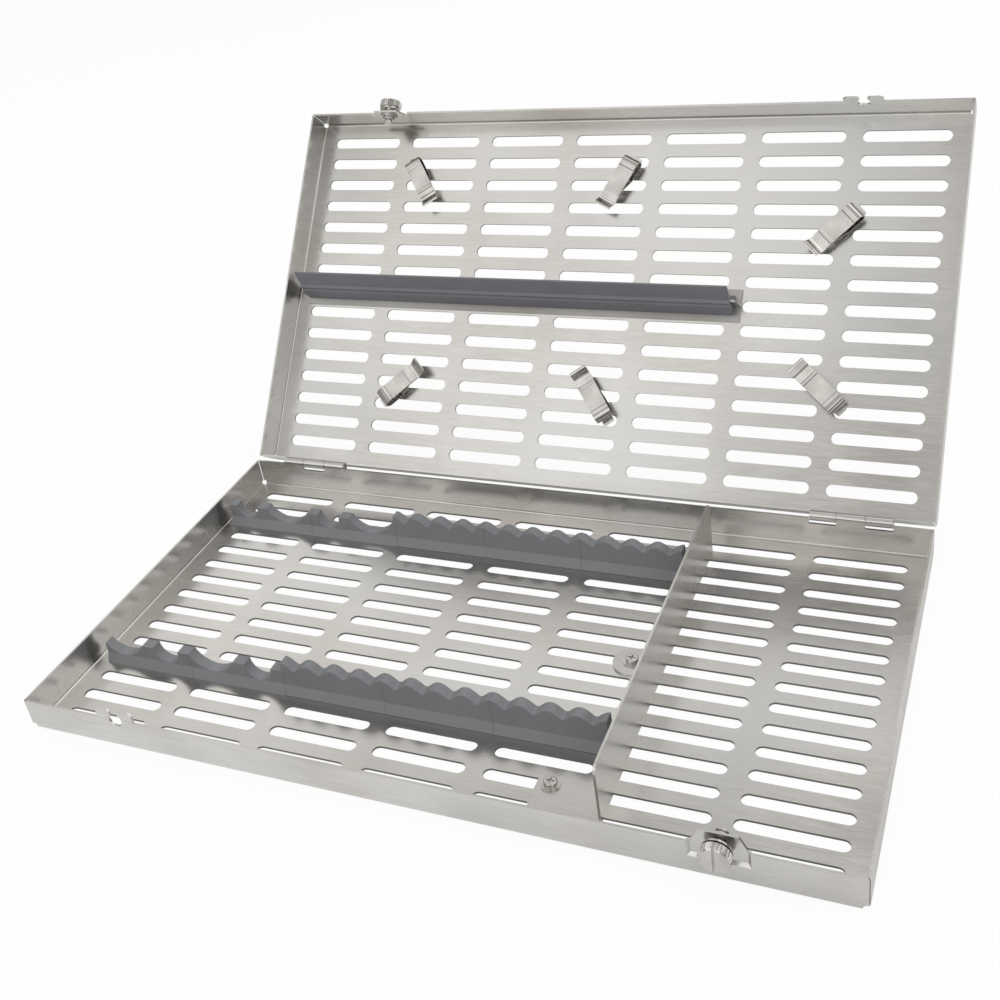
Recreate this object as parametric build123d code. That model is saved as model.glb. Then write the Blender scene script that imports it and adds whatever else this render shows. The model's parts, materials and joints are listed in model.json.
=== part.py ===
from build123d import *
import math
import os

# Dental instrument cassette: two perforated sheet-steel halves on a pair of rolled-knuckle
# hinges, shown open.  Millimetres, +Z up.  The origin is the centre of the tray's underside,
# X runs along the hinge line and the hinge lies at the back, towards +Y.

# ---------------------------------------------------------------- driving dimensions
# The pressed half: the tray and the lid are the same pressing, one turned over
case_length = 361.6
case_depth = 201.8
half_height = 16.0
sheet = 1.0
fold_radius = 2.0
corner_slit = 0.4
corner_relief = 3.2

# Drain slots
slot_columns = 7
slot_rows = 15
column_pitch = 50.0
row_pitch = 12.64
slot_length = 42.0
slot_width = 5.9

# Hinges: the tray has the outer knuckles on the left and the middle one on the right
hinge_x = 144.0
pin_diameter = 2.9
hinge_fit = 0.05
outer_knuckle = 12.0
middle_knuckle = 13.0
knuckle_gap = 0.25
knuckle_relief = 0.6
pin_chamfer = 0.4
lid_open_angle = 130.0

# Latch: a thumb screw on an ear of one half enters a keyhole notch of the other half
latch_x = 130.0
latch_clearance = 0.2
tab_width = 19.0
tab_height = 5.4
tab_corner = 1.6
notch_mouth = 4.0
notch_bore = 6.6
notch_lead = 1.2
pocket_side_clearance = 0.7
ear_height = 5.6
ear_top_width = 14.4

# Thumb screw
knob_diameter = 12.0
knob_length = 4.0
knob_chamfer = 0.6
knurl_count = 28
knurl_depth = 0.35
driver_slot_width = 1.3
driver_slot_depth = 1.6
shoulder_diameter = 6.2
neck_diameter = 3.4
thread_diameter = 4.0
thread_fit = 0.06
screw_travel = 0.9
lift_clearance = 0.1
screw_washer_diameter = 11.4
screw_washer_thickness = 0.8
washer_play = 0.4
nut_diameter = 9.4
nut_flange = 1.1
nut_barrel_diameter = 6.8
nut_barrel = 1.3
screw_ring_diameter = 5.4
screw_ring_thickness = 0.6
screw_tail = 2.2

# Silicone inserts: five to a row, centred on the slot columns
insert_rows = {"front": 11, "rear": 2}
insert_columns = 5
insert_gap = 0.2
insert_base_width = 9.6
insert_base_height = 5.7
insert_blade_width = 5.4
insert_tongue_clearance = 0.2
insert_tongue_end = 2.0
wide_insert_height = 12.2
wide_notch_depth = 8.3
front_wide_notches = ((0.0, 23.7), (30.0, 13.7))
rear_wide_notches = ((4.6, 12.8), (23.4, 24.8))
fine_insert_height = 17.0
fine_notches = 4
fine_notch_depth = 3.6
fine_notch_chord = 10.2
trimmed_end = 1.5

# Divider between the instrument racks and the open compartment
divider_x = 82.0
divider_front = -88.4
divider_rear = 85.0
divider_height = 28.5
divider_corner = 3.5
foot_reach = 30.5
front_foot_width = 17.6
rear_foot_clearance = 1.0
foot_corner = 2.0
middle_foot_radius = 8.5
foot_screw_x = 57.8
foot_screw_row = 13
screw_head_diameter = 5.6
screw_head_height = 1.7
screw_head_round = 0.6
recess_length = 3.2
recess_width = 0.8
recess_depth = 1.0
screw_diameter = 3.0
screw_hole_clearance = 0.1
washer_diameter = 8.0
washer_thickness = 0.6
slot_nut_length = 9.0
slot_nut_clearance = 0.1

# Lid rail and its silicone blade
rail_left = -172.5
rail_right = 78.5
rail_flange = 16.8
rail_web = 1.2
rail_web_height = 11.0
rail_corner = 4.0
blade_right = 75.0
blade_fit = 0.1
blade_base_width = 10.4
blade_shoulder_width = 5.8
blade_shoulder_height = 9.8
blade_ledge = 0.9
blade_neck_height = 12.9
blade_neck_width = 2.6
blade_lean = 4.4
blade_tip_height = 21.6
blade_tip_width = 0.9

# Spring clips on the lid: (x, half rows from the middle of the lid, direction of the jaw)
clip_places = (
    (-112.6, 11, -56.8),
    (10.6, 11, -116.8),
    (126.0, 7, -134.3),
    (-108.6, -9, 45.0),
    (11.8, -9, 126.3),
    (126.2, -7, 139.2),
)
clip_width = 9.4
clip_strip = 0.6
clip_tail = 4.3
clip_bend_radius = 3.0
clip_flat = 3.0
clip_meet = 10.5
clip_leaf_gap = 0.15
clip_leaf_end = 17.0
clip_leaf_drop = 0.8
clip_lip_reach = 22.5
clip_lip_rise = 3.0
foot_plate_width = 6.0
foot_plate_thickness = 0.8
foot_plate_tail = 9.6
foot_plate_front = 4.6
rivet_diameter = 2.6
rivet_fit = 0.08
rivet_head_diameter = 4.6
rivet_head = 0.9
rivet_play = 0.1

# ---------------------------------------------------------------- places worked out from them
def row_y(row):
    """Distance of a slot row from the middle, row 0 being the one at the hinge."""
    return ((slot_rows - 1) / 2 - row) * row_pitch


BOTTOM = (Align.CENTER, Align.CENTER, Align.MIN)
front_face = -case_depth / 2
rear_face = case_depth / 2
rim = half_height
pin_radius = pin_diameter / 2
knuckle_bore = pin_radius + hinge_fit
knuckle_radius = knuckle_bore + sheet
hinge_y = rear_face - sheet + knuckle_radius
hinge_span = 2 * outer_knuckle + middle_knuckle + 2 * knuckle_gap
pocket_width = tab_width + 2 * pocket_side_clearance
pocket_depth = sheet + latch_clearance
pocket_floor = rim - tab_height - 2 * latch_clearance
ear_face = front_face + pocket_depth
inner_depth = case_depth - 2 * sheet
closed_lid_panel = 2 * rim - sheet
rear_foot_width = divider_rear - row_y(insert_rows["rear"]) - insert_base_width / 2
rear_foot_width -= rear_foot_clearance
middle_screw_x = column_pitch + (slot_length - slot_width) / 2


def prism_x(outline, start, end):
    """Extrude a closed outline of (y, z) points along X from start to end."""
    face = Plane.YZ.offset(start) * make_face(Polyline(outline, close=True))
    return extrude(face, end - start)


def prism_y(sketch, start, end):
    """Extrude a sketch drawn in (x, z) from start to end along +Y."""
    face = Plane.XZ.offset(-start) * sketch
    return extrude(face, -(end - start))


def cylinder_y(x, z, radius, start, end):
    """Round bar along Y between two Y positions."""
    return prism_y(Pos(x, z) * Circle(radius), start, end)


# ---------------------------------------------------------------- the pressed half
def pressed_tray():
    """Open box with rounded folds, slit corners and the drain-slot grid."""
    body = Box(case_length, case_depth, half_height, align=BOTTOM)
    body = fillet(body.edges().group_by(Axis.Z)[0], fold_radius)
    hollow = Pos(0, 0, sheet) * Box(
        case_length - 2 * sheet, inner_depth, half_height, align=BOTTOM
    )
    hollow = fillet(hollow.edges().group_by(Axis.Z)[0], fold_radius - sheet)
    body -= hollow
    grid = GridLocations(column_pitch, row_pitch, slot_columns, slot_rows)
    body -= extrude(Sketch() + grid * SlotOverall(slot_length, slot_width), sheet)
    return body - corner_cuts()


def corner_cuts():
    """Slits where two walls meet, each ending in a round relief in the fold."""
    cuts = []
    slit_length = 4 * sheet
    slit_bottom = fold_radius
    for side_x in (-1, 1):
        for side_y in (-1, 1):
            inner_x = side_x * (case_length / 2 - sheet)
            inner_y = side_y * (case_depth / 2 - sheet)
            slit = Box(slit_length, corner_slit, half_height, align=BOTTOM)
            cuts.append(
                Pos(inner_x, inner_y, slit_bottom) * Rot(0, 0, 45 * side_x * side_y) * slit
            )
            relief = Cylinder(corner_relief / 2, slit_bottom + sheet, align=BOTTOM)
            cuts.append(Pos(inner_x, inner_y, 0) * relief)
    return cuts


def knuckle_spans(outer):
    """X spans of the outer pair or of the middle knuckle, about the hinge's own centre."""
    half = hinge_span / 2
    if outer:
        return [(-half, -half + outer_knuckle), (half - outer_knuckle, half)]
    return [(-middle_knuckle / 2, middle_knuckle / 2)]


def knuckles(centre, outer):
    """Rolled knuckles that stand on the rim of the rear wall."""
    ring = Pos(hinge_y, rim) * (Circle(knuckle_radius) - Circle(knuckle_bore))
    root = [
        (rear_face - sheet, rim - knuckle_radius),
        (rear_face, rim - knuckle_radius),
        (rear_face, rim),
        (rear_face - sheet, rim),
    ]
    bore = Pos(hinge_y, rim) * Circle(knuckle_bore)
    parts = Part()
    for start, end in knuckle_spans(outer):
        length = end - start
        plane = Plane.YZ.offset(centre + start)
        parts += extrude(plane * ring, length)
        parts += prism_x(root, centre + start, centre + end) - extrude(plane * bore, length)
    return parts


def knuckle_cutouts(centre, outer):
    """Gaps in the rear rim for the knuckles of the other half."""
    depth = knuckle_radius + knuckle_relief
    low = rear_face - 2 * sheet
    high = rear_face + sheet
    outline = [(low, rim - depth), (high, rim - depth), (high, rim + 1), (low, rim + 1)]
    return [
        prism_x(outline, centre + start - knuckle_gap, centre + end + knuckle_gap)
        for start, end in knuckle_spans(outer)
    ]


def pocket(width, floor, depth):
    """Shallow recess with sloping sides, open at the rim; the sides slope at 45 degrees."""
    plan = Polyline(
        (latch_x - width / 2 - depth, front_face),
        (latch_x + width / 2 + depth, front_face),
        (latch_x + width / 2, front_face + depth),
        (latch_x - width / 2, front_face + depth),
        close=True,
    )
    block = extrude(make_face(plan), rim)
    side = [
        (front_face, floor - depth),
        (front_face, rim),
        (front_face + depth, rim),
        (front_face + depth, floor),
    ]
    return block & prism_x(side, 0, case_length)


def latch_ear():
    """Trapezoid ear that stands up from the set-back part of the front wall."""
    outline = Polyline(
        (latch_x - pocket_width / 2, rim - 1),
        (latch_x + pocket_width / 2, rim - 1),
        (latch_x + pocket_width / 2, rim),
        (latch_x + ear_top_width / 2, rim + ear_height),
        (latch_x - ear_top_width / 2, rim + ear_height),
        (latch_x - pocket_width / 2, rim),
        close=True,
    )
    return prism_y(make_face(outline), ear_face, ear_face + sheet)


def notch_tabs():
    """Pair of tabs on the rim with the keyhole notch between them."""
    centre = -latch_x
    half = tab_width / 2
    outline = Polyline(
        (centre - half, rim - 1),
        (centre + half, rim - 1),
        (centre + half, rim + tab_height - tab_corner),
        (centre + half - tab_corner, rim + tab_height),
        (centre - half + tab_corner, rim + tab_height),
        (centre - half, rim + tab_height - tab_corner),
        close=True,
    )
    return prism_y(make_face(outline), front_face, front_face + sheet)


def keyhole():
    """The notch itself: a round seat, a narrower mouth and a lead-in at the top."""
    centre = -latch_x
    top = rim + tab_height
    mouth = Polyline(
        (centre - notch_mouth / 2, rim),
        (centre + notch_mouth / 2, rim),
        (centre + notch_mouth / 2, top - notch_lead),
        (centre + notch_mouth / 2 + notch_lead, top),
        (centre - notch_mouth / 2 - notch_lead, top),
        (centre - notch_mouth / 2, top - notch_lead),
        close=True,
    )
    seat = Pos(centre, rim) * Circle(notch_bore / 2)
    return prism_y(make_face(mouth) + seat, front_face - sheet, front_face + 2 * sheet)


def case_half():
    """One complete pressing, standing as the tray does."""
    body = pressed_tray()
    backing = sheet * math.tan(math.radians(22.5))
    body += pocket(pocket_width + 2 * backing, pocket_floor - backing, pocket_depth + sheet)
    body -= pocket(pocket_width, pocket_floor, pocket_depth)
    body += latch_ear()
    body -= cylinder_y(
        latch_x, rim, thread_diameter / 2 + thread_fit, ear_face - sheet, ear_face + 2 * sheet
    )
    body += notch_tabs()
    body -= keyhole()
    body -= knuckle_cutouts(-hinge_x, outer=False) + knuckle_cutouts(hinge_x, outer=True)
    body += knuckles(-hinge_x, outer=True)
    body += knuckles(hinge_x, outer=False)
    return body


# ---------------------------------------------------------------- the lid's place
def turned_over(solid):
    """Carry a piece of the tray to the same place on the closed lid."""
    return Pos(0, 0, 2 * rim) * Rot(0, 180, 0) * solid


def opened(solid):
    """Swing a piece from the closed lid to the open one."""
    return Pos(0, hinge_y, rim) * Rot(-lid_open_angle, 0, 0) * Pos(0, -hinge_y, -rim) * solid


def on_lid(solid):
    """Carry a piece drawn on the lid's panel to the open lid.

    It is drawn with x along the lid, y towards the free edge and z out of the panel's inner
    face.
    """
    return opened(Pos(0, 0, closed_lid_panel) * Rot(180, 0, 0) * solid)


# ---------------------------------------------------------------- hinge pins
def hinge_pin(centre):
    """Pin the length of the hinge, bevelled at both ends."""
    pin = Cylinder(pin_radius, hinge_span, rotation=(0, 90, 0))
    pin = chamfer(pin.edges().filter_by(GeomType.CIRCLE), pin_chamfer)
    return Pos(centre, hinge_y, rim) * pin


# ---------------------------------------------------------------- thumb screw
# Drawn on the tray's latch; lengths run outwards from the front face, towards -Y
def turned(steps):
    """Revolve (radius, start, end) steps about the latch axis, lengths measured outwards."""
    body = Part()
    for radius, start, end in steps:
        body += cylinder_y(latch_x, rim, radius, front_face - end, front_face - start)
    return body


washer_seat = lift_clearance + screw_travel
knob_start = washer_seat + screw_washer_thickness + washer_play
knob_end = knob_start + knob_length
nut_face = -(pocket_depth + sheet)
nut_end = nut_face - nut_flange - nut_barrel
screw_tip = nut_end - screw_tail


def knob():
    """Knurled head with bevelled edges and a driver slot across its face."""
    radius = knob_diameter / 2
    head = turned([(radius, knob_start, knob_end)])
    head = chamfer(head.edges().filter_by(GeomType.CIRCLE), knob_chamfer)
    flute = Rectangle(2 * knurl_depth, 2 * knurl_depth, rotation=45)
    ring = Sketch() + PolarLocations(radius, knurl_count) * flute
    head -= prism_y(Pos(latch_x, rim) * ring, front_face - knob_end, front_face - knob_start)
    groove_centre = front_face - knob_end + driver_slot_depth / 2
    groove = Box(driver_slot_width, driver_slot_depth, 2 * knob_diameter)
    return head - Pos(latch_x, groove_centre, rim) * groove


def thumb_screw():
    """Knob, locking shoulder, thin neck and threaded shank in one turning."""
    shank = turned(
        [
            (shoulder_diameter / 2, lift_clearance, knob_start),
            (neck_diameter / 2, -pocket_depth, lift_clearance),
            (thread_diameter / 2, screw_tip, -pocket_depth),
        ]
    )
    return knob() + shank


def screw_washer():
    """Washer between the knob and the notched wall."""
    outer = screw_washer_diameter / 2
    bore = shoulder_diameter / 2 + hinge_fit
    start, end = washer_seat, washer_seat + screw_washer_thickness
    return turned([(outer, start, end)]) - turned([(bore, start - 1, end + 1)])


def latch_nut():
    """Clinch nut behind the ear."""
    bore = thread_diameter / 2 + thread_fit
    body = turned(
        [
            (nut_diameter / 2, nut_face - nut_flange, nut_face),
            (nut_barrel_diameter / 2, nut_end, nut_face - nut_flange),
        ]
    )
    return body - turned([(bore, nut_end - 1, nut_face + 1)])


def screw_ring():
    """Ring on the tip of the shank that keeps the screw captive."""
    start = screw_tip + lift_clearance
    end = start + screw_ring_thickness
    bore = turned([(thread_diameter / 2, start - 1, end + 1)])
    return turned([(screw_ring_diameter / 2, start, end)]) - bore


# ---------------------------------------------------------------- silicone inserts
def insert_section(height):
    """Cross-section of an insert: a tapered base under an upright blade."""
    base = insert_base_width / 2
    blade = insert_blade_width / 2
    return [
        (-base, 0),
        (base, 0),
        (blade, insert_base_height),
        (blade, height),
        (-blade, height),
        (-blade, insert_base_height),
    ]


def scallop(start, chord, depth, height):
    """Round notch of a given chord and depth cut down from the top edge."""
    radius = (chord**2 / 4 + depth**2) / (2 * depth)
    if radius > chord / 2 and depth > chord / 2:
        radius = chord / 2
    centre = height - depth + radius
    return Pos(start + chord / 2, centre) * Circle(radius)


def insert_bar(height, notches, depth):
    """One insert, its left end at x = 0 and its foot on z = 0."""
    length = column_pitch - insert_gap
    bar = prism_x(insert_section(height), 0, length)
    reach = insert_base_width
    for start, chord in notches:
        bar -= prism_y(scallop(start - insert_gap / 2, chord, depth, height), -reach, reach)
    tongue = Box(
        slot_length - 2 * insert_tongue_end - slot_width,
        slot_width - 2 * insert_tongue_clearance,
        sheet,
        align=(Align.CENTER, Align.CENTER, Align.MAX),
    )
    return bar + Pos(length / 2, 0, 0) * tongue


def fine_insert():
    """Insert with a row of small equal notches."""
    pitch = column_pitch / fine_notches
    land = (pitch - fine_notch_chord) / 2
    notches = [(land + n * pitch, fine_notch_chord) for n in range(fine_notches)]
    return insert_bar(fine_insert_height, notches, fine_notch_depth)


def wide_insert(notches):
    """Insert with one broad and one narrow notch."""
    return insert_bar(wide_insert_height, notches, wide_notch_depth)


def insert_row(side):
    """The five inserts of one rack, from left to right."""
    notches = front_wide_notches if side == "front" else rear_wide_notches
    wide = wide_insert(notches)
    fine = fine_insert()
    left = -column_pitch * slot_columns / 2 + insert_gap / 2
    row = []
    for column in range(insert_columns):
        bar = wide if column < 2 else fine
        placed = Pos(left + column * column_pitch, row_y(insert_rows[side]), sheet) * bar
        if side == "front" and column == 0:
            cut = Box(trimmed_end, insert_base_width, 2 * half_height + sheet, align=BOTTOM)
            edge = left + trimmed_end / 2
            placed -= Pos(edge, row_y(insert_rows[side]), sheet) * cut
        row.append(placed)
    return row


# ---------------------------------------------------------------- divider
def divider_feet_y():
    """Y of the three feet's screws."""
    return (row_y(foot_screw_row), 0.0, -row_y(foot_screw_row))


def divider():
    """Upright sheet wall with two corner feet and a rounded middle foot folded from it."""
    wall = Box(
        sheet,
        divider_rear - divider_front,
        divider_height,
        align=(Align.MAX, Align.MIN, Align.MIN),
    )
    wall = Pos(divider_x + sheet / 2, divider_front, sheet) * wall
    top = wall.edges().filter_by(Axis.X).group_by(Axis.Z)[-1]
    wall = fillet(top, divider_corner)
    right = divider_x + sheet / 2
    for width, middle in (
        (front_foot_width, divider_front + front_foot_width / 2),
        (rear_foot_width, divider_rear - rear_foot_width / 2),
    ):
        foot = Rectangle(foot_reach, width, align=(Align.MAX, Align.CENTER))
        foot = fillet(foot.vertices().group_by(Axis.X)[0], foot_corner)
        wall += Pos(right, middle, sheet) * extrude(foot, sheet)
    reach = right - middle_screw_x
    tab = Pos(-reach, 0) * Circle(middle_foot_radius)
    tab += Pos(-reach, 0) * Rectangle(reach, 2 * middle_foot_radius, align=(Align.MIN, Align.CENTER))
    wall += Pos(right, 0, sheet) * extrude(tab, sheet)
    hole = Cylinder(screw_diameter / 2 + screw_hole_clearance, 4 * sheet)
    for x, y in foot_screws():
        wall -= Pos(x, y, sheet) * hole
    return wall


def foot_screws():
    """Places of the three screws that hold the divider."""
    y_front, y_middle, y_rear = divider_feet_y()
    return [(foot_screw_x, y_front), (middle_screw_x, y_middle), (foot_screw_x, y_rear)]


def divider_screws():
    """Cross-recessed screws, one at each foot, their tips level with the underside."""
    head_seat = 2 * sheet + washer_thickness
    head = Cylinder(screw_head_diameter / 2, screw_head_height, align=BOTTOM)
    head = fillet(head.edges().group_by(Axis.Z)[-1], screw_head_round)
    recess = Rectangle(recess_length, recess_width) + Rectangle(recess_width, recess_length)
    head -= Pos(0, 0, screw_head_height - recess_depth) * extrude(recess, recess_depth)
    screw = Cylinder(screw_diameter / 2, head_seat, align=BOTTOM)
    screw += Pos(0, 0, head_seat) * head
    return [Pos(x, y, 0) * screw for x, y in foot_screws()]


def divider_washers():
    """Flat washers under the screw heads."""
    bore = screw_diameter / 2 + screw_hole_clearance
    ring = Circle(washer_diameter / 2) - Circle(bore)
    return [Pos(x, y, 2 * sheet) * extrude(ring, washer_thickness) for x, y in foot_screws()]


def slot_nuts():
    """Nuts that sit in the drain slot under each foot, flush with the underside."""
    nut_width = slot_width - 2 * slot_nut_clearance
    plan = Pos((nut_width - slot_nut_length) / 2, 0) * SlotOverall(slot_nut_length, nut_width)
    plan -= Circle(screw_diameter / 2 + hinge_fit)
    return [Pos(x, y, 0) * extrude(plan, sheet) for x, y in foot_screws()]


# ---------------------------------------------------------------- lid rail and blade
def lid_rail():
    """T-shaped rail across the middle of the lid, the web's free end rounded."""
    length = rail_right - rail_left
    middle = (rail_right + rail_left) / 2
    flange = Box(length, rail_flange, sheet, align=BOTTOM)
    web = Rectangle(length, rail_web_height, align=(Align.CENTER, Align.MIN))
    corner = web.vertices().sort_by(Axis.X)[-2:].sort_by(Axis.Y)[-1]
    web = fillet(corner, rail_corner)
    web = Pos(0, -rail_web / 2, 0) * (Plane.XZ * web)
    return Pos(middle, 0, 0) * (flange + extrude(web, -rail_web))


def blade_outline():
    """Section of the blade in (y, z), a leaning lip on a grooved block."""
    base = blade_base_width / 2
    shoulder = blade_shoulder_width / 2
    neck = blade_neck_width / 2
    groove = rail_web / 2 + blade_fit
    groove_top = rail_web_height + blade_fit
    foot = sheet
    return [
        (-base, foot),
        (-groove, foot),
        (-groove, groove_top),
        (groove, groove_top),
        (groove, foot),
        (base, foot),
        (shoulder, blade_shoulder_height),
        (neck + blade_ledge, blade_neck_height),
        (blade_lean + blade_tip_width / 2, blade_tip_height),
        (blade_lean - blade_tip_width / 2, blade_tip_height),
        (-neck + blade_ledge, blade_neck_height),
        (-shoulder + blade_ledge, blade_neck_height - blade_ledge),
        (-shoulder + blade_ledge, blade_shoulder_height + blade_ledge),
        (-shoulder, blade_shoulder_height),
    ]


def lid_blade():
    """Silicone blade pushed onto the rail."""
    return prism_x(blade_outline(), rail_left, blade_right)


# ---------------------------------------------------------------- spring clips
# Drawn with the rivet at the origin, x towards the jaw and z out of the lid's panel
def clip_path():
    """Middle line of the bent strip in (x, z), from the lower lip round to the upper jaw."""
    low = foot_plate_thickness + clip_strip / 2
    high = low + 2 * clip_bend_radius
    leaf_step = clip_strip + clip_leaf_gap
    slope = (high - (low + clip_bend_radius * 1.5)) / (clip_leaf_end + clip_tail)
    meet_z = high - slope * (clip_meet + clip_tail) - leaf_step
    nip_z = high - slope * (clip_leaf_end + clip_tail) - leaf_step
    lower = Polyline(
        (clip_lip_reach, nip_z + clip_lip_rise),
        (clip_leaf_end + clip_leaf_drop, nip_z - clip_leaf_drop / 4),
        (clip_meet, meet_z),
        (clip_flat, low),
        (-clip_tail, low),
    )
    bend = ThreePointArc(
        (-clip_tail, low), (-clip_tail - clip_bend_radius, low + clip_bend_radius), (-clip_tail, high)
    )
    upper = Polyline(
        (-clip_tail, high),
        (clip_leaf_end - clip_leaf_drop, nip_z + leaf_step + slope * clip_leaf_drop),
    )
    return lower, bend, upper


def clip_spring():
    """One strip of spring steel bent into a closed jaw."""
    lower, bend, upper = clip_path()
    strip = Part()
    half = clip_width / 2
    for line in (*lower.edges(), *bend.edges(), *upper.edges()):
        if line.geom_type == GeomType.LINE:
            a, b = line.position_at(0), line.position_at(1)
            middle = (a + b) / 2
            angle = math.degrees(math.atan2(b.Y - a.Y, b.X - a.X))
            bar = Pos(middle.X, middle.Y) * Rot(0, 0, angle) * SlotCenterToCenter(line.length, clip_strip)
            strip += prism_y(bar, -half, half)
        else:
            ring = Circle(clip_bend_radius + clip_strip / 2) - Circle(clip_bend_radius - clip_strip / 2)
            centre = line.arc_center
            ring = Pos(centre.X, centre.Y) * ring
            left = Pos(centre.X, centre.Y) * Rectangle(
                2 * clip_bend_radius, 4 * clip_bend_radius, align=(Align.MAX, Align.CENTER)
            )
            strip += prism_y(ring & left, -half, half)
    return strip - Cylinder(rivet_diameter / 2 + rivet_fit, 4 * foot_plate_thickness)


def clip_foot():
    """Narrow plate under the clip that turns with it on the rivet."""
    length = foot_plate_tail + foot_plate_front
    plate = Rectangle(length, foot_plate_width)
    plate = fillet(plate.vertices(), foot_plate_width / 6)
    plate = Pos((foot_plate_front - foot_plate_tail) / 2, 0) * plate
    plate -= Circle(rivet_diameter / 2 + rivet_fit)
    return Pos(0, 0, rivet_play / 2) * extrude(plate, foot_plate_thickness - rivet_play)


def clip_rivet():
    """Rivet through the lid's panel, a head inside the clip and one on the outside."""
    grip = foot_plate_thickness + clip_strip + rivet_play
    shank = Pos(0, 0, -sheet) * Cylinder(rivet_diameter / 2, sheet + grip, align=BOTTOM)
    head = Cylinder(rivet_head_diameter / 2, rivet_head, align=BOTTOM)
    return shank + Pos(0, 0, grip) * head + Pos(0, 0, -sheet - rivet_head) * head


def at_clip(place, solid):
    """Put a piece of a clip at its rivet on the open lid."""
    x, half_rows, direction = place
    return on_lid(Pos(x, half_rows * row_pitch / 2, 0) * Rot(0, 0, direction) * solid)


def rivet_holes():
    """Holes for the clip rivets, drawn on the lid's panel."""
    hole = Cylinder(rivet_diameter / 2 + hinge_fit, 4 * sheet)
    return [Pos(x, half_rows * row_pitch / 2, 0) * hole for x, half_rows, _ in clip_places]


# ---------------------------------------------------------------- the whole cassette
half = case_half()
nodes = {
    "tray_shell": half,
    "lid_shell": opened(turned_over(half)) - [on_lid(hole) for hole in rivet_holes()],
    "hinge_pin_left": hinge_pin(-hinge_x),
    "hinge_pin_right": hinge_pin(hinge_x),
    "divider": divider(),
    "divider_screws": Compound(divider_screws()),
    "divider_washers": Compound(divider_washers()),
    "divider_slot_nuts": Compound(slot_nuts()),
    "lid_rail": on_lid(lid_rail()),
    "lid_blade": on_lid(lid_blade()),
    "clip_rivets": Compound([at_clip(place, clip_rivet()) for place in clip_places]),
}
latch_pieces = {
    "thumb_screw": thumb_screw(),
    "screw_washer": screw_washer(),
    "latch_nut": latch_nut(),
    "screw_ring": screw_ring(),
}
for name, piece in latch_pieces.items():
    nodes[f"tray_{name}"] = piece
    nodes[f"lid_{name}"] = opened(turned_over(piece))
for side in insert_rows:
    for number, insert in enumerate(insert_row(side), 1):
        nodes[f"{side}_insert_{number}"] = insert
spring = clip_spring()
foot = clip_foot()
for number, place in enumerate(clip_places, 1):
    nodes[f"clip_spring_{number}"] = at_clip(place, spring)
    nodes[f"clip_foot_{number}"] = at_clip(place, foot)

os.makedirs("parts", exist_ok=True)
for name, shape in nodes.items():
    shape.label = name
    export_step(shape, f"parts/{name}.step")
print(len(nodes), "nodes written")
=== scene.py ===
# %% [markdown]
# # A dental instrument cassette, dressed for a studio photograph
#
# The cassette is two pressed steel halves on a hinge, shown open. Every rigid piece comes from
# the CAD model with its true shape, so most of this lesson is about finishes: how brushed sheet,
# turned screws and moulded silicone catch the light. The soft silicone pieces are modelled anew,
# with the small roundings that a mould leaves, and so are the clips, with their smallest bends.

# %% Load the CAD model
import json
import math

import bmesh
import bpy
from mathutils import Matrix, Vector


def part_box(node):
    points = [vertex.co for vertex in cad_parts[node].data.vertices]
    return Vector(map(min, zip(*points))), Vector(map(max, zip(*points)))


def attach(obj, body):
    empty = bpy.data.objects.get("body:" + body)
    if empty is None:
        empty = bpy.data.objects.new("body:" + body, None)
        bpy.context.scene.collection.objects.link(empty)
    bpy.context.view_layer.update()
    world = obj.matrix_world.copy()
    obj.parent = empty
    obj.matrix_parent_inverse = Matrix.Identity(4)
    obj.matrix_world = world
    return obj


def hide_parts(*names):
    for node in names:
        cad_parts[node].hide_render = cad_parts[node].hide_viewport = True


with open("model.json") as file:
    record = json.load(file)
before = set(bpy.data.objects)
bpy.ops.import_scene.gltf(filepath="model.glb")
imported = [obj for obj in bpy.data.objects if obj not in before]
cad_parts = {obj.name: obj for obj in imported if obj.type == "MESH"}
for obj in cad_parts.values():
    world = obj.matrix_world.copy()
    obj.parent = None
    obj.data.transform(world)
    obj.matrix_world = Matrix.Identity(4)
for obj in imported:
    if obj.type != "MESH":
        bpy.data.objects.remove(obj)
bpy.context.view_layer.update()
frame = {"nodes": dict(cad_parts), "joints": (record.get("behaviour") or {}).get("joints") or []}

MM = 0.001
nodes = frame["nodes"]
joints = {joint["name"]: joint for joint in frame["joints"]}
scene = bpy.context.scene

# %% [markdown]
# ## Camera
#
# A camera is matched to a photograph by finding the place from which the known corners of the
# object fall on their pictured spots. Placed by eye, it would leave every edge a little off. Here
# the slot grid gave hundreds of such corners. It is a short lens held close, a little to the right
# of the case and well above it. The picture is a cut from a larger frame, which is why the lens is
# shifted.

# %% Camera
sensor_width = 36.0
lens_length = 45.60
lens_shift = (0.0220, -0.0620)
camera_place = (0.21754, -0.39438, 0.36728)
camera_tilt = (59.543, 8.297, 22.652)

camera_data = bpy.data.cameras.new("camera")
camera_data.sensor_width = sensor_width
camera_data.lens = lens_length
camera_data.shift_x, camera_data.shift_y = lens_shift
camera_data.clip_start = 0.01
camera = bpy.data.objects.new("camera", camera_data)
camera.location = camera_place
camera.rotation_euler = [math.radians(angle) for angle in camera_tilt]
scene.collection.objects.link(camera)
scene.camera = camera
scene.view_settings.view_transform = "Standard"
print("camera at", camera_place)

# %% [markdown]
# ## Shader sums
#
# A material is easier to read as a formula than as a drawing of boxes and wires. `Shade` wraps
# one output socket, so that `1 - grain * 0.3` adds the Math nodes by itself. `Tree` is the node
# tree that the sockets are in, and its `node` method adds every other kind of node. `Finish` is
# the tree of one material.

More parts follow.
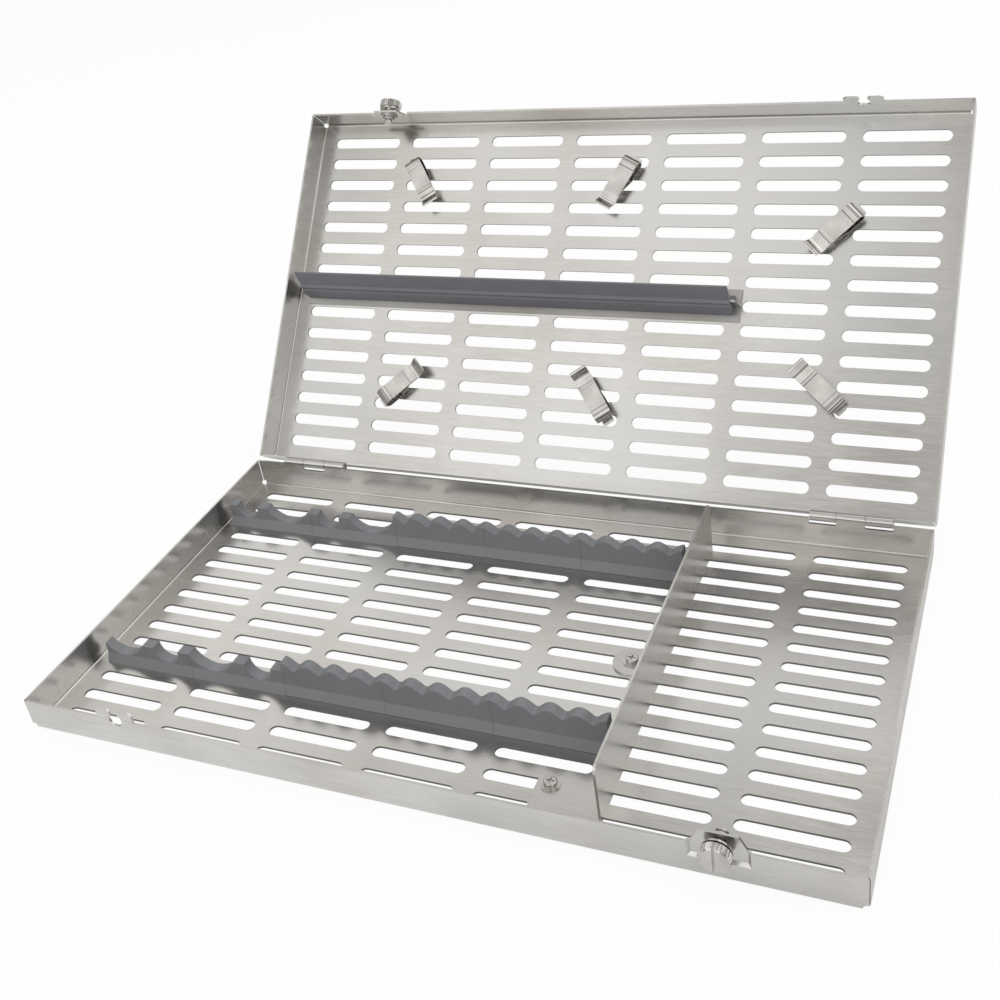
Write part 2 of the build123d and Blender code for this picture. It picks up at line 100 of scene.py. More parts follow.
# %% A value in a formula
class Shade:
    """A socket's value in a formula."""

    def __init__(self, tree, socket):
        self.tree = tree
        self.socket = socket

    def maths(self, operation, *values):
        """Add one Math node."""
        return self.tree.node("ShaderNodeMath", {"operation": operation}, dict(enumerate(values)))

    def __add__(self, other):
        return self.maths("ADD", self, other)

    def __sub__(self, other):
        return self.maths("SUBTRACT", self, other)

    def __rsub__(self, other):
        return self.maths("SUBTRACT", other, self)

    def __mul__(self, other):
        return self.maths("MULTIPLY", self, other)

    def __abs__(self):
        return self.maths("ABSOLUTE", self)

    def above(self, limit, soft=0.0001):
        """1 where the value is above a limit and 0 below it, with a soft step."""
        sockets = {"Value": self, "From Min": limit - soft, "From Max": limit + soft}
        return self.tree.node("ShaderNodeMapRange", {}, sockets)

    def at_least(self, other):
        """The larger of two values."""
        return self.maths("MAXIMUM", self, other)

    def root(self):
        return self.maths("SQRT", self)

    def sine(self):
        return self.maths("SINE", self)

    def swing(self, share):
        """A share of the value's swing about its middle, for a value from 0 to 1."""
        return (self - 0.5) * share

    __radd__ = __add__
    __rmul__ = __mul__


print("formulas ready")

# %% A node tree
# a Mix node has sockets for several kinds of data, and these are the numbers of its colours
mix_first = 6
mix_second = 7
mix_result = 2


class Tree:
    """A node tree that is written as formulas."""

    def __init__(self, tree):
        self.tree = tree

    def node(self, kind, settings=None, sockets=None, output=0):
        """Add a node: its settings first, then the values or links of its sockets."""
        made = self.tree.nodes.new(kind)
        for key, value in (settings or {}).items():
            setattr(made, key, value)
        for key, value in (sockets or {}).items():
            self.plug(made.inputs[key], value)
        return Shade(self, made.outputs[output])

    def plug(self, socket, value):
        """Link a formula to a socket, or set the socket to a plain value."""
        if isinstance(value, Shade):
            self.tree.links.new(value.socket, socket)
        else:
            socket.default_value = value

    def place(self):
        """The point on the object, in metres, as x, y and z."""
        return self.node("ShaderNodeTexCoord", output="Object")

    def split(self, place):
        """The x, y and z of a point."""
        parts = self.node("ShaderNodeSeparateXYZ", {}, {0: place}).socket.node
        return [Shade(self, output) for output in parts.outputs]

    def stretched(self, place, scale):
        """Coordinates stretched so that a texture has a grain."""
        return self.node("ShaderNodeVectorMath", {"operation": "MULTIPLY"}, {0: place, 1: scale})

    def noise(self, place, scale=1.0, detail=2.0, roughness=0.5):
        """Smooth noise from 0 to 1, with this many features in a metre."""
        sockets = {"Vector": place, "Scale": scale, "Detail": detail, "Roughness": roughness}
        return self.node("ShaderNodeTexNoise", {}, sockets)

    def mix(self, amount, first, second):
        """A colour between two, by an amount from 0 to 1."""
        sockets = {0: amount, mix_first: first, mix_second: second}
        return self.node("ShaderNodeMix", {"data_type": "RGBA"}, sockets, mix_result)

    def ray(self, kind):
        """1 for one kind of ray, such as the camera's own."""
        return self.node("ShaderNodeLightPath", output=f"Is {kind} Ray")


print("node tree ready")


# %% A material
class Finish(Tree):
    """One material with a Principled shader."""

    def __init__(self, name, **constants):
        self.material = bpy.data.materials.new(name)
        self.material.use_nodes = True
        super().__init__(self.material.node_tree)
        self.shader = self.tree.nodes["Principled BSDF"]
        for socket, value in constants.items():
            self.shader.inputs[socket.replace("_", " ")].default_value = value

    def feed(self, socket, value):
        """Link a formula to one of the shader's own sockets."""
        self.plug(self.shader.inputs[socket], value)

    def bump(self, height, depth):
        """Link a height from 0 to 1 to the normal, as a relief of a given depth in metres."""
        sockets = {"Strength": 1.0, "Distance": depth, "Height": height}
        self.feed("Normal", self.node("ShaderNodeBump", {}, sockets))


print("materials ready")

# %% [markdown]
# ## Floor
#
# The cassette was cut out on pure white, and its drain slots show that white too. More light would
# whiten a plain floor, but it would bleach the case as well. So the floor is told what to show: to
# the camera it is mostly a white glow, and only the rest of it is lit, which keeps the shadow. The
# front wall mirrors the white too, less so towards the right. Elsewhere a reflection shows the
# plain lit paper, which is dim under the case, so the walls mirror the drain slots as dark bars.

# %% A sheet of paper
floor_size = 10.0
floor_level = -0.3 * MM

half_floor = floor_size / 2
corners = [(x * half_floor, y * half_floor, 0) for x, y in ((-1, -1), (1, -1), (1, 1), (-1, 1))]
floor_mesh = bpy.data.meshes.new("floor")
floor_mesh.from_pydata(corners, [], [(0, 1, 2, 3)])
floor = bpy.data.objects.new("floor", floor_mesh)
floor.location.z = floor_level
scene.collection.objects.link(floor)
print("floor", floor_size, "m square")

# %% Its white and its shadow
floor_white = 0.96
floor_glow = 0.94
glow_edge = -90 * MM
glow_blur = 10 * MM
fade_middle = 60 * MM
fade_reach = 120 * MM
fade_share = 0.9

paper = Finish("floor_paper", Base_Color=(floor_white, floor_white, floor_white, 1), Roughness=1.0)
paper.shader.inputs["Specular IOR Level"].default_value = 0.0
white_glow = paper.node("ShaderNodeEmission")
lit = Shade(paper, paper.shader.outputs[0])
x, y = paper.split(paper.place())[:2]
in_front = 1 - y.above(glow_edge, glow_blur)
mirrored = paper.ray("Glossy") * in_front * (1 - x.above(fade_middle, fade_reach) * fade_share)
shows_white = paper.ray("Camera").at_least(mirrored)
blend = paper.node("ShaderNodeMixShader", {}, {0: shows_white * floor_glow, 1: lit, 2: white_glow})
paper.tree.links.new(blend.socket, paper.tree.nodes["Material Output"].inputs["Surface"])
floor_mesh.materials.append(paper.material)
print("floor glows", floor_glow, "to the camera")

# %% [markdown]
# ## Room and light
#
# A steel case shows little light of its own. It shows what stands around it, so a pale room and
# large soft panels draw its tones. A picture of a real studio would do that too, but plain panels
# can be moved one at a time until each wall has its tone. The room is paler overhead than at the
# horizon, and plain white to the camera alone. One panel is mirrored in the lid, a low one in the
# walls that run along it, one on the right in the left walls, and one behind the case in the
# tray's floor.

# %% Room
horizon_light = (0.34, 0.33, 0.315, 1)
overhead_light = (0.625, 0.612, 0.597, 1)
horizon_height = 0.15
overhead_height = 0.6
world = bpy.data.worlds.new("pale_room")
world.use_nodes = True
scene.world = world
room = Tree(world.node_tree)
upward = room.split(room.node("ShaderNodeTexCoord", output="Generated"))[2]
ramp = {"Value": upward, "From Min": horizon_height, "From Max": overhead_height}
tint = room.mix(room.node("ShaderNodeMapRange", {}, ramp), horizon_light, overhead_light)
around = room.node("ShaderNodeBackground", {}, {"Color": tint})
white = room.node("ShaderNodeBackground", {}, {"Color": (1, 1, 1, 1)})
shown = room.node("ShaderNodeMixShader", {}, {0: room.ray("Camera"), 1: around, 2: white})
world.node_tree.links.new(shown.socket, world.node_tree.nodes["World Output"].inputs["Surface"])
print("pale room")


# %% Soft panels
def soft_panel(name, direction, distance, width, height, brightness):
    """A rectangular soft light that faces the case; its brightness is that of a white sheet."""
    lamp = bpy.data.lights.new(name, "AREA")
    lamp.shape = "RECTANGLE"
    lamp.size = width
    lamp.size_y = height
    lamp.energy = brightness * math.pi * width * height
    panel = bpy.data.objects.new(name, lamp)
    away = Vector(direction).normalized()
    panel.location = away * distance
    panel.rotation_euler = away.to_track_quat("Z", "Y").to_euler()
    panel.visible_camera = False
    scene.collection.objects.link(panel)
    print(name, width, "by", height, "m")


soft_panel("front_panel", (-0.45, -0.51, 1.05), distance=1.3, width=0.8, height=0.9, brightness=0.50)
soft_panel("back_panel", (-0.32, 0.74, 0.56), distance=1.5, width=1.7, height=0.66, brightness=0.50)
soft_panel("top_panel", (0.36, 0.40, 1.0), distance=1.6, width=1.1, height=1.0, brightness=0.85)
soft_panel("low_panel", (-0.15, -0.90, 0.46), distance=1.7, width=2.2, height=0.80, brightness=0.95)
soft_panel("right_panel", (0.72, -0.08, 0.66), distance=1.5, width=2.7, height=0.75, brightness=0.75)

# %% [markdown]
# ## Brushed sheet
#
# The halves are pressed from sheet that was brushed lengthwise before it was cut. So the grain
# follows the case along the floor and the long walls, and it stands upright on the short walls,
# which were folded up. A wrapped picture of steel would stretch or show seams at the folds. Noise
# in the case's own coordinates has none: drawn out along one direction, it makes faint streaks in
# the colour and, as a shallow relief, smears the reflections across it. The lid is the same
# pressing, so its coordinates are first turned shut about the hinge, and then one recipe serves
# both halves.

# %% Where the lid lies when shut
hinge_place = Vector(joints["lid_hinge"]["pos_m"])
open_angle = math.radians(joints["lid_hinge"]["range_deg"][1])
case_low, case_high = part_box("tray_shell")
case_half_length = case_high.x
case_half_depth = -case_low.y
sheet = 1.0 * MM


def case_place(finish, on_lid):
    """Object coordinates, turned shut about the hinge for a piece of the lid."""
    place = finish.place()
    if not on_lid:
        return place
    sockets = {"Vector": place, "Center": hinge_place, "Angle": open_angle}
    return finish.node("ShaderNodeVectorRotate", {"rotation_type": "X_AXIS"}, sockets)


# on the shut case, the inner face of the lid's panel is at this height and looks down
closed_panel = 31.0 * MM
to_lid = (
    Matrix.Translation(hinge_place)
    @ Matrix.Rotation(-open_angle, 4, "X")
    @ Matrix.Translation(-hinge_place)
    @ Matrix.Translation((0, 0, closed_panel))
    @ Matrix.Rotation(math.pi, 4, "X")
)
print("lid opens", round(math.degrees(open_angle)), "degrees")

# %% Grain
grain_length = 15 * MM
grain_width = 0.5 * MM
grain_depth = 0.007 * MM


def streaks(finish, place, along, length=grain_length, width=grain_width):
    """Noise drawn out along x, y or z, from 0 to 1."""
    scale = [1 / width] * 3
    scale["xyz".index(along)] = 1 / length
    return finish.noise(finish.stretched(place, scale), detail=3.0, roughness=0.65)


print("grain", grain_length / MM, "mm long")

# %% [markdown]
# Sheet that has been handled is not even. Broad clouds make it lighter and darker, short marks
# lie along the case, and here and there it has a cooler breath of colour. Each of them moves the
# colour and the roughness a little. The punched edges of the slots are rougher, and their colour
# is darkened as painted shade on the cut walls.

# %% Brushed steel
steel_dark = (0.43, 0.415, 0.39, 1)
steel_light = (0.76, 0.745, 0.72, 1)
cool_steel = (0.605, 0.612, 0.605, 1)
cool_share = 0.2
# dark colour of the slots' cut walls: painted shade
cut_shade_steel = (0.19, 0.185, 0.175, 1)
cut_roughness = 0.2
clouds_per_metre = 18.0
breaths_per_metre = 11.0
marks_per_metre = (60, 420, 420)


def brushed(finish, grain, place, roughness, cut=None, tones=(steel_dark, steel_light)):
    """Feed the colour, roughness and relief of brushed steel; its punched edges are rougher and darkened
    with painted shade.
    """
    clouds = finish.noise(place, clouds_per_metre, detail=3.0)
    marks = finish.noise(finish.stretched(place, marks_per_metre), detail=4.0, roughness=0.7)
    breath = finish.noise(place, breaths_per_metre)
    tone = grain.swing(0.55) + clouds.swing(0.9) + marks.swing(0.5) + 0.5
    colour = finish.mix(breath.swing(1.8) + cool_share, finish.mix(tone, *tones), cool_steel)
    rough = roughness + grain.swing(0.14) + clouds.swing(0.10) + marks.swing(0.08)
    # the cut walls are rougher, and their colour is darkened as painted shade
    if cut is not None:
        colour = finish.mix(cut, colour, cut_shade_steel)
        rough = rough + cut * cut_roughness
    finish.feed("Base Color", colour)
    finish.feed("Roughness", rough)
    finish.bump(grain, grain_depth)


print("steel mixed")

# %% The two halves
wall_depth = 1.5 * sheet
fold_depth = 3 * sheet
sheet_roughness = 0.24


def facing(finish, on_lid):
    """How far a surface faces up or down on the shut case, from 0 to 1."""
    normal = finish.node("ShaderNodeTexCoord", output="Normal")
    if on_lid:
        sockets = {"Vector": normal, "Angle": open_angle}
        normal = finish.node("ShaderNodeVectorRotate", {"rotation_type": "X_AXIS"}, sockets)
    return abs(finish.split(normal)[2])


def pressed_sheet(name, on_lid):
    """Satin sheet of one half of the case, with its grain and its punched edges."""
    finish = Finish(name, Metallic=1.0)
    place = case_place(finish, on_lid)
    x, y = finish.split(place)[:2]
    short_wall = abs(x).above(case_half_length - wall_depth)
    lengthwise = streaks(finish, place, "x")
    upright = streaks(finish, place, "z")
    grain = lengthwise * (1 - short_wall) + upright * short_wall
    between_ends = 1 - abs(x).above(case_half_length - fold_depth)
    between_walls = 1 - abs(y).above(case_half_depth - fold_depth)
    # upright faces away from the walls are the slots' cut walls, which get the painted shade
    upright_face = 1 - facing(finish, on_lid).above(0.5, 0.1)
    brushed(finish, grain, place, sheet_roughness, upright_face * between_ends * between_walls)
    return finish.material


def dress(node, material):
    """Give a CAD piece one finish all over."""
    slots = nodes[node].material_slots
    if slots:
        for slot in slots:
            slot.material = material
    else:
        nodes[node].data.materials.append(material)


dress("tray_shell", pressed_sheet("tray_sheet", False))
dress("lid_shell", pressed_sheet("lid_sheet", True))
print("two halves brushed")

# %% [markdown]
# ## Divider and rail
#
# The divider is folded from the same sheet, cut with its grain running front to back. The rail
# is duller, with its grain along it, and its colour is darker as painted shade from the blade over
# it. Both take the recipe of the halves with their own direction and roughness, so that all the
# sheet stays in one family.

# %% Divider and rail
divider_roughness = 0.3
rail_roughness = 0.38
# the rail's darker tones are painted shade from the blade that stands over it
rail_shade_dark = (0.24, 0.23, 0.215, 1)
rail_shade_light = (0.46, 0.45, 0.43, 1)


def folded_sheet(name, along, on_lid, roughness, tones):
    """Brushed sheet with its grain along one axis of the case."""
    finish = Finish(name, Metallic=1.0)
    place = case_place(finish, on_lid)
    brushed(finish, streaks(finish, place, along), place, roughness, tones=tones)
    return finish.material


divider_sheet = folded_sheet("divider_sheet", "y", False, divider_roughness, (steel_dark, steel_light))
dress("divider", divider_sheet)
rail_sheet = folded_sheet("rail_sheet", "x", True, rail_roughness, (rail_shade_dark, rail_shade_light))
dress("lid_rail", rail_sheet)
print("divider and rail brushed")

# %% [markdown]
# ## Thumb screws
#
# A turned piece keeps fine circles around its axis from the lathe. Cut into the mesh they would
# take thousands of faces, so they come from a wave of the distance to that axis, as a relief in
# the shading. The axis runs along y on the shut case for both thumb screws, so the one recipe
# does for the tray and, turned shut, for the lid.

# %% Turned steel
turned_dark = (0.42, 0.405, 0.385, 1)
turned_light = (0.68, 0.67, 0.65, 1)
lathe_pitch = 0.16 * MM
lathe_depth = 0.0012 * MM


def turned_steel(name, axis_place, on_lid, roughness):
    """Bright turned steel with lathe circles about a line along y."""
    finish = Finish(name, Metallic=1.0)
    x, y, z = finish.split(case_place(finish, on_lid))
    sideways = x - axis_place[0]
    upwards = z - axis_place[2]
    radius = (sideways * sideways + upwards * upwards).root()
    circles = (radius * (2 * math.pi / lathe_pitch)).sine()
    skin = finish.noise(finish.place(), scale=900.0, detail=3.0)
    clouds = finish.noise(finish.place(), scale=160.0)
    finish.feed("Base Color", finish.mix(clouds, turned_dark, turned_light))
    finish.feed("Roughness", roughness + circles * 0.05 + skin.swing(0.1))
    finish.bump(circles * 0.5 + skin, lathe_depth)
    return finish.material


print("lathe circles", lathe_pitch / MM, "mm apart")

# %% Thumb screws
latch_place = joints["tray_screw_spin"]["pos_m"]
for body, side in (("tray", 1), ("lid", -1)):
    axis_place = (side * latch_place[0], 0, latch_place[2])
    on_lid = body == "lid"
    dress(f"{body}_thumb_screw", turned_steel(f"{body}_knob_steel", axis_place, on_lid, 0.17))
    dress(f"{body}_screw_washer", turned_steel(f"{body}_washer_steel", axis_place, on_lid, 0.26))
    dress(f"{body}_latch_nut", turned_steel(f"{body}_nut_steel", axis_place, on_lid, 0.3))
    dress(f"{body}_screw_ring", turned_steel(f"{body}_ring_steel", axis_place, on_lid, 0.3))
print("latches finished")

# %% [markdown]
# ## Small hardware
#
# Small stamped and headed pieces, such as washers, screws and rivets, are tumbled in bulk, which
# leaves them half bright with a fine irregular skin. Plain noise in all directions gives that, and
# one recipe with other tones does for the hinge pins too, which are drawn wire and duller.

# %% Tumbled steel
tumbled_dark = (0.42, 0.41, 0.39, 1)
tumbled_bright = (0.74, 0.73, 0.71, 1)
wire_dark = (0.36, 0.35, 0.33, 1)
wire_bright = (0.6, 0.59, 0.57, 1)
skin_depth = 0.0025 * MM
skins_per_metre = 700.0


def tumbled_steel(name, dark, light, roughness):
    """Half-bright steel with a fine irregular skin."""
    finish = Finish(name, Metallic=1.0)
    place = finish.place()
    skin = finish.noise(place, skins_per_metre, detail=4.0, roughness=0.6)
    clouds = finish.noise(place, skins_per_metre / 6)
    finish.feed("Base Color", finish.mix(clouds, dark, light))
    finish.feed("Roughness", roughness + skin.swing(0.2))
    finish.bump(skin, skin_depth)
    return finish.material


fastener = tumbled_steel("fastener_steel", tumbled_dark, tumbled_bright, 0.24)
rivet = tumbled_steel("rivet_steel", tumbled_dark, tumbled_bright, 0.3)
pin = tumbled_steel("pin_steel", wire_dark, wire_bright, 0.35)
for node in ("divider_screws", "divider_washers", "divider_slot_nuts"):
    dress(node, fastener)
dress("clip_rivets", rivet)
dress("hinge_pin_left", pin)
dress("hinge_pin_right", pin)
print("hardware finished")

# %% [markdown]
# ## Silicone
#
# The racks and the blade are moulded silicone: a soft even grey with no shine of its own, a
# slightly dusty bloom and the faint texture of the mould. The soft edges matter more than the
# colour, because a moulded piece has no sharp corner anywhere. So these pieces are built anew in
# the place of their solids, with softer notches, and their edges are rounded.

# %% Silicone finish
rack_dark = (0.198, 0.205, 0.219, 1)
rack_light = (0.254, 0.262, 0.278, 1)
blade_dark = (0.190, 0.188, 0.214, 1)
blade_light = (0.246, 0.244, 0.273, 1)
foot_height = 4.9 * MM
foot_blur = 0.4 * MM
# how much paler the foot's slope is made: painted light
foot_painted_light = 0.8
silicone_roughness = 0.55
silicone_shine = 0.35
mould_depth = 0.012 * MM


def silicone(name, dark, light, foot=None):
    """Soft grey silicone; below the height foot it is a little paler, as painted light on the foot's
    slope.
    """
    finish = Finish(name, Metallic=0.0)
    finish.shader.inputs["Specular IOR Level"].default_value = silicone_shine
    place = finish.place()
    skin = finish.noise(place, scale=1400.0, detail=3.0, roughness=0.6)
    clouds = finish.noise(place, scale=55.0, detail=3.0)
    tone = clouds * 0.8 + skin * 0.2
    if foot is not None:
        # the foot's sloping face is made paler: painted light
        tone = tone + foot_painted_light * (1 - finish.split(place)[2].above(foot, foot_blur))
    finish.feed("Base Color", finish.mix(tone, dark, light))
    finish.feed("Roughness", silicone_roughness + clouds.swing(0.2))
    finish.bump(skin, mould_depth)
    return finish.material


rack_grey = silicone("rack_silicone", rack_dark, rack_light, foot=sheet + foot_height)
blade_grey = silicone("blade_silicone", blade_dark, blade_light)
print("silicone mixed")

# %% [markdown]
# ## Rounded edges
#
# A bevel modifier rounds the edges. It could go by angle, but told to go by weight it takes just
# the edges that are marked, so real creases are rounded and the flat faces between them stay flat.
# Where two pieces stand end to end, their ends are left square, so that the joint between them
# stays a fine line.

# %% From a bmesh to a piece
weld = 0.001 * MM
crease = math.radians(14)
round_steps = 3


def mesh_object(name, mould, material, body, rounding, square_ends=False, place=None):
    """Turn a bmesh into a piece whose creases are rounded; it rides on a body."""
    bmesh.ops.remove_doubles(mould, verts=mould.verts, dist=weld)
    bmesh.ops.dissolve_degenerate(mould, edges=mould.edges, dist=weld)
    bmesh.ops.recalc_face_normals(mould, faces=mould.faces)
    ends = [pick(vertex.co.x for vertex in mould.verts) for pick in (min, max)]
    weight = mould.edges.layers.float.new("bevel_weight_edge")
    for edge in mould.edges:
        at_end = any(all(abs(vertex.co.x - end) < weld for vertex in edge.verts) for end in ends)
        sharp = edge.calc_face_angle(0) > crease
        edge[weight] = float(sharp and not (square_ends and at_end))
        edge.smooth = not (sharp and square_ends and at_end)
    mesh = bpy.data.meshes.new(name)
    mould.to_mesh(mesh)
    mould.free()
    mesh.materials.append(material)
    piece = bpy.data.objects.new(name, mesh)
    scene.collection.objects.link(piece)
    if place is not None:
        piece.matrix_world = place
    soften = piece.modifiers.new("rounding", "BEVEL")
    soften.width = rounding
    soften.segments = round_steps
    soften.limit_method = "WEIGHT"
    soften.harden_normals = True
    for face in mesh.polygons:
        face.use_smooth = True
    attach(piece, body)
    return piece


print("edges rounded in", round_steps, "steps")


# %% A skin over sections
def skin_of_sections(mould, sections):
    """Join a row of equal closed sections into a skin with both ends shut."""
    rings = [[mould.verts.new(point) for point in section] for section in sections]
    for first, second in zip(rings, rings[1:]):
        for corner in range(len(first)):
            following = (corner + 1) % len(first)
            mould.faces.new((first[corner], first[following], second[following], second[corner]))
    mould.faces.new(rings[0])
    mould.faces.new(reversed(rings[-1]))


print("skins ready")

# %% [markdown]
# ## The racks
#
# An insert is a tapered foot under an upright rib, with round notches cut down from the top.
# Notches made with Boolean modifiers can leave slivers that a bevel can't round. So an insert is
# built as a row of cross-sections from left to right, each cut off level at the height of the top
# edge there. Where a notch dips into the foot, the cut is wider because the foot is. First come
# the top edges: arcs for the wide notches, and a wave for the fine ones.

# %% Insert measures
column_pitch = 50.0 * MM
insert_gap = 0.12 * MM
insert_length = column_pitch - insert_gap
foot_width = 9.6 * MM
rib_width = 5.4 * MM
tongue_length = 32.1 * MM
tongue_width = 5.5 * MM
wide_height = 12.2 * MM
wide_depth = 7.3 * MM
fine_height = 17.0 * MM
fine_depth = 3.6 * MM
fine_count = 4
fine_pitch = column_pitch / fine_count
front_notches = [(0.0 * MM, 23.7 * MM), (30.0 * MM, 13.7 * MM)]
rear_notches = [(4.6 * MM, 12.8 * MM), (23.4 * MM, 24.8 * MM)]
print("insert length", round(insert_length / MM, 2), "mm")

# %% Edge with round notches
arc_steps = 28


def notch_points(start, chord, depth, height):
    """Points (x, z) down one side of a round notch and up the other."""
    if depth > chord / 2:
        radius = chord / 2
        reach = math.pi / 2
    else:
        radius = (chord**2 / 4 + depth**2) / (2 * depth)
        reach = math.asin(chord / 2 / radius)
    middle = start + chord / 2
    centre = height - depth + radius
    points = []
    for step in range(arc_steps + 1):
        angle = -reach + 2 * reach * step / arc_steps
        points.append((middle + radius * math.sin(angle), centre - radius * math.cos(angle)))
    return points


def notched_edge(length, height, notches, depth):
    """Top edge of an insert with round notches, as points (x, z) from its left end."""
    points = [(0.0, height)]
    for start, chord in notches:
        arc = notch_points(start - insert_gap / 2, chord, depth, height)
        points += [(arc[0][0], height)] + arc + [(arc[-1][0], height)]
    points.append((length, height))
    return [(x, z) for x, z in points if 0 <= x <= length]


print("a notch has", arc_steps + 1, "points")

# %% Edge with a wave
trough_softness = 0.3


def waved_edge(length, height, depth):
    """Top edge of an insert with a wave of round crests and narrower troughs."""
    steps = fine_count * arc_steps // 2
    points = []
    for step in range(steps + 1):
        x = length * step / steps
        swing = math.cos(math.pi * (x + insert_gap / 2) / fine_pitch)
        rise = math.hypot(swing, trough_softness) - trough_softness
        rise /= math.hypot(1, trough_softness) - trough_softness
        points.append((x, height - depth * (1 - rise)))
    return points


print("wave of", fine_count, "troughs")


# %% Where an edge meets the foot
def with_shoulder(points):
    """The same edge with a point wherever it crosses the top of the foot."""
    crossed = [points[0]]
    for (x0, z0), (x1, z1) in zip(points, points[1:]):
        if (z0 - foot_height) * (z1 - foot_height) < 0:
            share = (foot_height - z0) / (z1 - z0)
            crossed.append((x0 + share * (x1 - x0), foot_height))
        crossed.append((x1, z1))
    return crossed


print("foot", foot_height / MM, "mm high")

# %% [markdown]
# Each section has six corners, and the skin joins every one to its neighbour. Under the foot a
# tongue fills part of a drain slot, which is what holds an insert to the tray. The first insert of
# a rack is trimmed by the tray's wall, and its place and length come from its solid.

# %% Sections and tongue
def insert_section(x, top, row, base):
    """Closed section of an insert at x, cut off level at the height top."""
    foot = foot_width / 2
    rib = rib_width / 2
    shoulder = min(top, foot_height)
    half = foot + (rib - foot) * shoulder / foot_height
    return [
        (x, row - foot, base),
        (x, row - half, base + shoulder),
        (x, row - half, base + max(top, shoulder)),
        (x, row + half, base + max(top, shoulder)),
        (x, row + half, base + shoulder),
        (x, row + foot, base),
    ]


def tongue(mould, low, high):
    """Rectangular tongue of an insert, which sits in a drain slot."""
    corners = [(low.x, low.y), (high.x, low.y), (high.x, high.y), (low.x, high.y)]
    skin_of_sections(mould, [[(x, y, z) for x, y in corners] for z in (low.z, high.z)])


print("section of", len(insert_section(0, fine_height, 0, 0)), "corners")

# %% One insert
least_trim = 0.5 * MM
insert_rounding = 0.3 * MM


def trimmed_start(edge, trimmed):
    """The same edge, cut off at its left end."""
    after = [point for point in edge if point[0] > trimmed]
    before = [point for point in edge if point[0] <= trimmed][-1]
    share = (trimmed - before[0]) / (after[0][0] - before[0])
    return [(trimmed, before[1] + share * (after[0][1] - before[1]))] + after


def silicone_insert(node, edge):
    """One insert in place of its solid, with the solid's own trimmed length."""
    low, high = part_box(node)
    row = (low.y + high.y) / 2
    left = (round(low.x / column_pitch - 0.5) + 0.5) * column_pitch + insert_gap / 2
    trimmed = low.x - left
    if trimmed > least_trim:
        edge = trimmed_start(edge, trimmed)
    mould = bmesh.new()
    skin_of_sections(mould, [insert_section(left + x, z, row, sheet) for x, z in edge])
    middle = Vector((left + insert_length / 2, row, sheet / 2))
    half_size = Vector((tongue_length, tongue_width, sheet)) / 2
    tongue(mould, middle - half_size, middle + half_size)
    name = f"{node}_moulded"
    piece = mesh_object(name, mould, rack_grey, "tray", insert_rounding, square_ends=True)
    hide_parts(node)


print("insert rounding", insert_rounding / MM, "mm")

# %% Two racks of five
for rack, wide in (("front", front_notches), ("rear", rear_notches)):
    for number in range(1, 6):
        node = f"{rack}_insert_{number}"
        if number < 3:
            edge = notched_edge(insert_length, wide_height, wide, wide_depth)
        else:
            edge = waved_edge(insert_length, fine_height, fine_depth)
        silicone_insert(node, with_shoulder(edge))
    print(rack, "rack of five inserts")

# %% [markdown]
# ## The lid's blade
#
# The blade is one long extrusion with a leaning lip, pushed over the rail's web. A curve with a
# profile would give it as well, but the skin over sections is there already and keeps the corners
# as drawn. The section is drawn in millimetres on the lid's own panel and carried to the open lid
# by one matrix: turned over, laid on the tray as the shut lid, and swung open.

# %% Blade on the rail
blade_left = -172.5 * MM
blade_right = 75.0 * MM
blade_rounding = 0.2 * MM
blade_section = [
    (-5.2, 1.0), (-0.7, 1.0), (-0.7, 11.1), (0.7, 11.1), (0.7, 1.0), (5.2, 1.0), (2.9, 9.8),
    (2.2, 12.9), (4.85, 21.6), (3.95, 21.6), (-0.4, 13.0), (-2.1, 12.8), (-2.2, 10.3), (-3.3, 10.1),
]
blade_ends = [
    [to_lid @ Vector((x, y * MM, z * MM)) for y, z in blade_section] for x in (blade_left, blade_right)
]
mould = bmesh.new()
skin_of_sections(mould, blade_ends)
blade = mesh_object("lid_blade_moulded", mould, blade_grey, "lid", blade_rounding)
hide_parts("lid_blade")
print("blade", round((blade_right - blade_left) / MM, 1), "mm long")

# %% [markdown]
# ## Spring clips
#
# Each clip is one strip of bright spring steel, bent round into a closed jaw on its rivet. The
# solids keep the plain bends. Here the strip is drawn anew with the small ones as well: a step
# behind the round end, a rib across the jaw and a lip that curls over. They are only tenths of a
# millimetre high, but on bright steel each one draws a light and a dark line.

# %% Strip steel
strip_dark = (0.38, 0.365, 0.345, 1)
strip_light = (0.72, 0.705, 0.68, 1)
rolling_length = 9 * MM
rolling_width = 0.25 * MM
rolling_depth = 0.0015 * MM


def strip_steel():
    """Bright strip with rolling lines along it."""
    finish = Finish("strip_steel", Metallic=1.0)
    place = finish.place()
    lines = streaks(finish, place, "x", rolling_length, rolling_width)
    clouds = finish.noise(place, scale=120.0)
    tone = lines.swing(0.4) + clouds.swing(1.2) + 0.5
    finish.feed("Base Color", finish.mix(tone, strip_dark, strip_light))
    finish.feed("Roughness", 0.14 + lines.swing(0.10) + clouds.swing(0.06))
    finish.bump(lines, rolling_depth)
    return finish.material


spring_steel = strip_steel()
foot_steel = tumbled_steel("clip_foot_steel", tumbled_dark, tumbled_bright, 0.28)
for number in range(1, 7):
    dress(f"clip_foot_{number}", foot_steel)
print("strip steel mixed")

# %% [markdown]
# The strip is a line drawn from the side, in millimetres from the rivet, with its middle at the
# middle of the steel. It starts at the curled lip of the lower leaf, runs back over the rivet,
# turns round the bend and comes forward again as the upper leaf. A Solidify modifier could give it
# its thickness, but the rivet's hole has to go through one of the leaves. So the line is thickened
# to both sides here, with each corner mitred so that the steel keeps its thickness.

